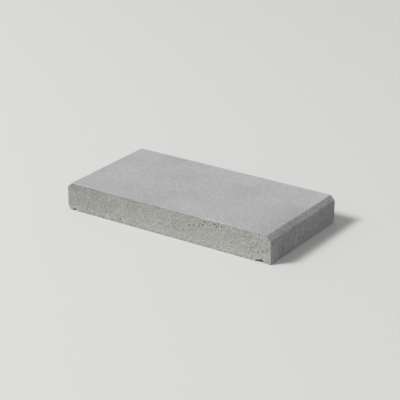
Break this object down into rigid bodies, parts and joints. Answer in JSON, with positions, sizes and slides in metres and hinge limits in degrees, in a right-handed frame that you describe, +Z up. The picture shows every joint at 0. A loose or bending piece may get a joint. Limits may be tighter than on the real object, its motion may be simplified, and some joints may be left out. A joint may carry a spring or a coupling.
{
  "type": "pillar cap",
  "caption": "Flat oblong pillar cap of pressed concrete with a chamfer along the top of each short end, laid on a pillar to shed rain.",
  "frame": {"origin": "middle of the bed, the flat underside", "axes": "+X along the stone's length, +Y across it, +Z up from the bed to the top face"},
  "size_m": [0.5, 0.25, 0.06],
  "materials": {
    "concrete": "matte"
  },
  "bodies": {
    "root": {"cap_stone": "concrete"}
  },
  "joints": []
}
